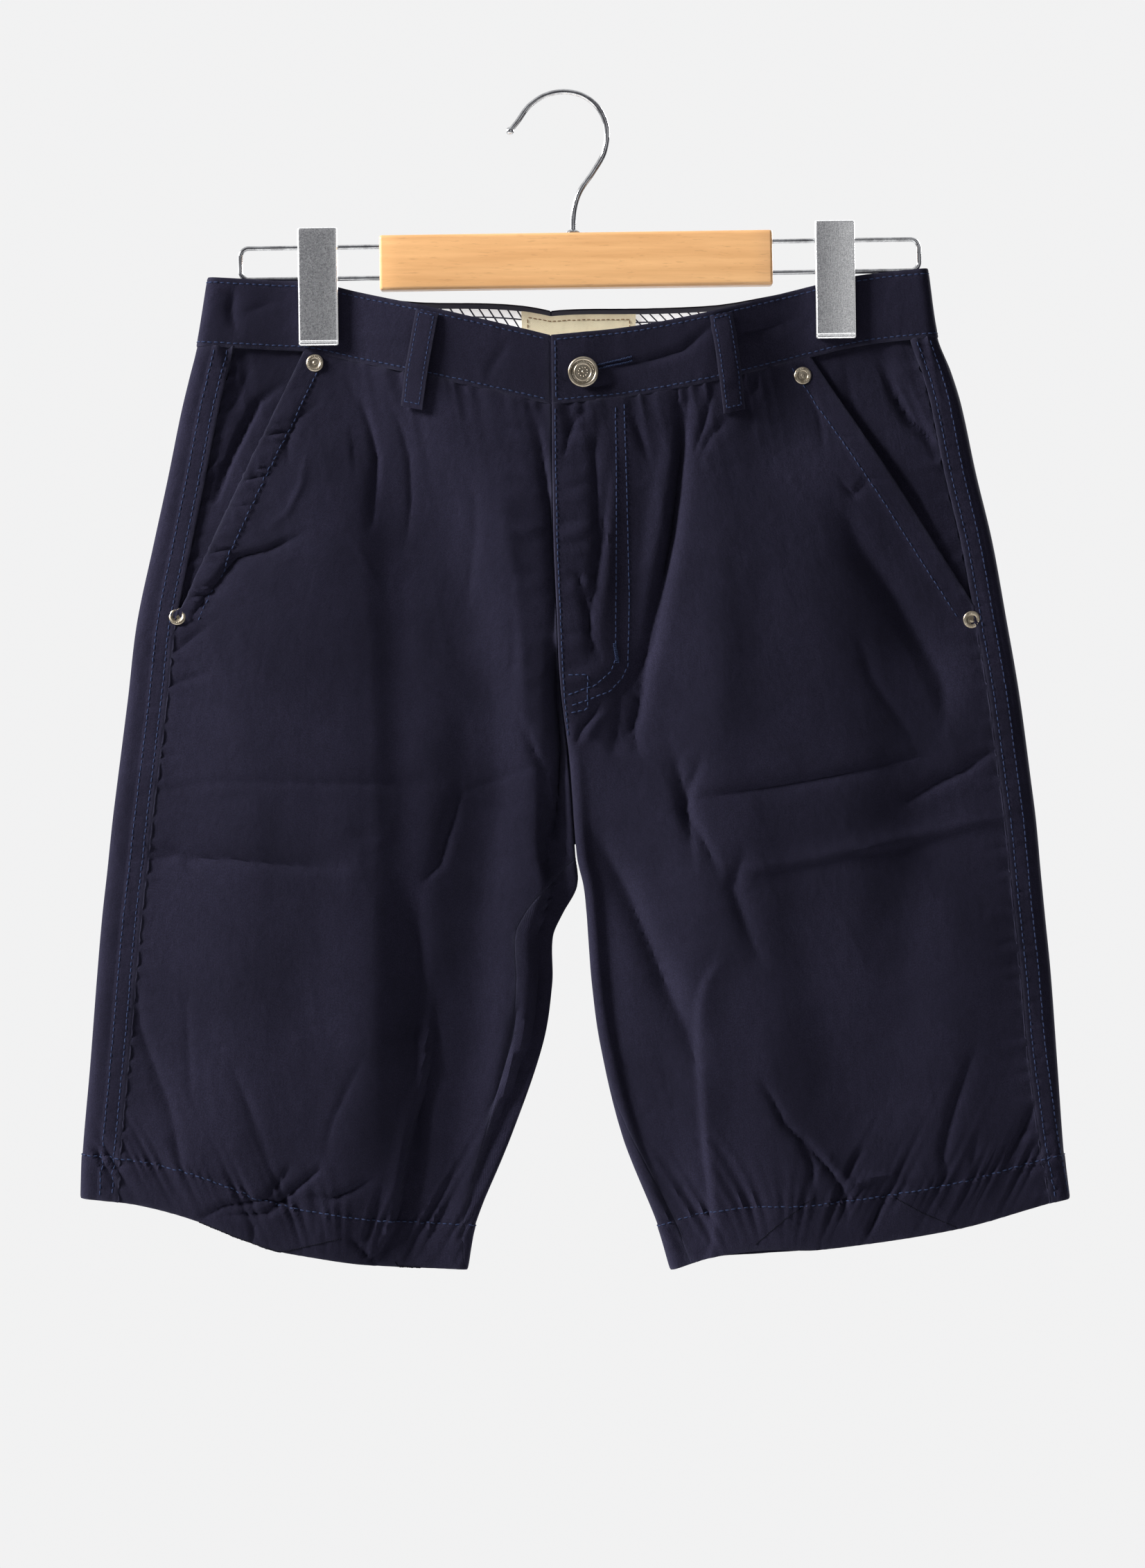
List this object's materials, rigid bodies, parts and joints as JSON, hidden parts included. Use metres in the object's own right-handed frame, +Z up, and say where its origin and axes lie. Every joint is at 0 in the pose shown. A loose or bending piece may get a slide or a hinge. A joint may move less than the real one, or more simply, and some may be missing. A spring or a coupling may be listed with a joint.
{
  "type": "bermuda shorts on a clip hanger",
  "caption": "Knee-length navy cotton shorts with slanted hip pockets, belt loops and a striped waistband lining, hung by the waist from a wood and wire clip hanger.",
  "frame": {"origin": "inside of the hook's crown, where the rail bears, in the middle of the wire", "axes": "+X the wearer's left, +Y the wearer's back, so the front faces -Y, +Z up"},
  "size_m": [0.5855, 0.0384, 0.6982],
  "materials": {
    "navy_cloth": "matte woven cotton",
    "striped_cloth": "white cotton with fine slanting navy stripes",
    "label_cloth": "plain cream tape",
    "old_silver": "aged silver",
    "bright_steel": "polished",
    "varnished_wood": "clear varnish"
  },
  "bodies": {
    "root": {"front_left": "navy_cloth", "back_left": "navy_cloth", "pocket_facing_left": "navy_cloth", "waistband_left": "navy_cloth", "hem_facing_left": "navy_cloth", "waistband_lining_left": "striped_cloth", "belt_loop_front_left": "navy_cloth", "belt_loop_back_left": "navy_cloth", "rivet_pocket_top_left": "old_silver", "rivet_pocket_side_left": "old_silver", "clip_front_left": "bright_steel", "clip_back_left": "bright_steel", "clip_spring_left": "bright_steel", "hanger_rail_left": "bright_steel", "front_right": "navy_cloth", "back_right": "navy_cloth", "pocket_facing_right": "navy_cloth", "waistband_right": "navy_cloth", "hem_facing_right": "navy_cloth", "waistband_lining_right": "striped_cloth", "belt_loop_front_right": "navy_cloth", "belt_loop_back_right": "navy_cloth", "rivet_pocket_top_right": "old_silver", "rivet_pocket_side_right": "old_silver", "clip_front_right": "bright_steel", "clip_back_right": "bright_steel", "clip_spring_right": "bright_steel", "hanger_rail_right": "bright_steel", "belt_loop_back_centre": "navy_cloth", "label": "label_cloth", "fly_button": "old_silver", "hanger_bar": "varnished_wood", "hanger_hook": "bright_steel", "hook_ferrule": "bright_steel"}
  },
  "joints": []
}
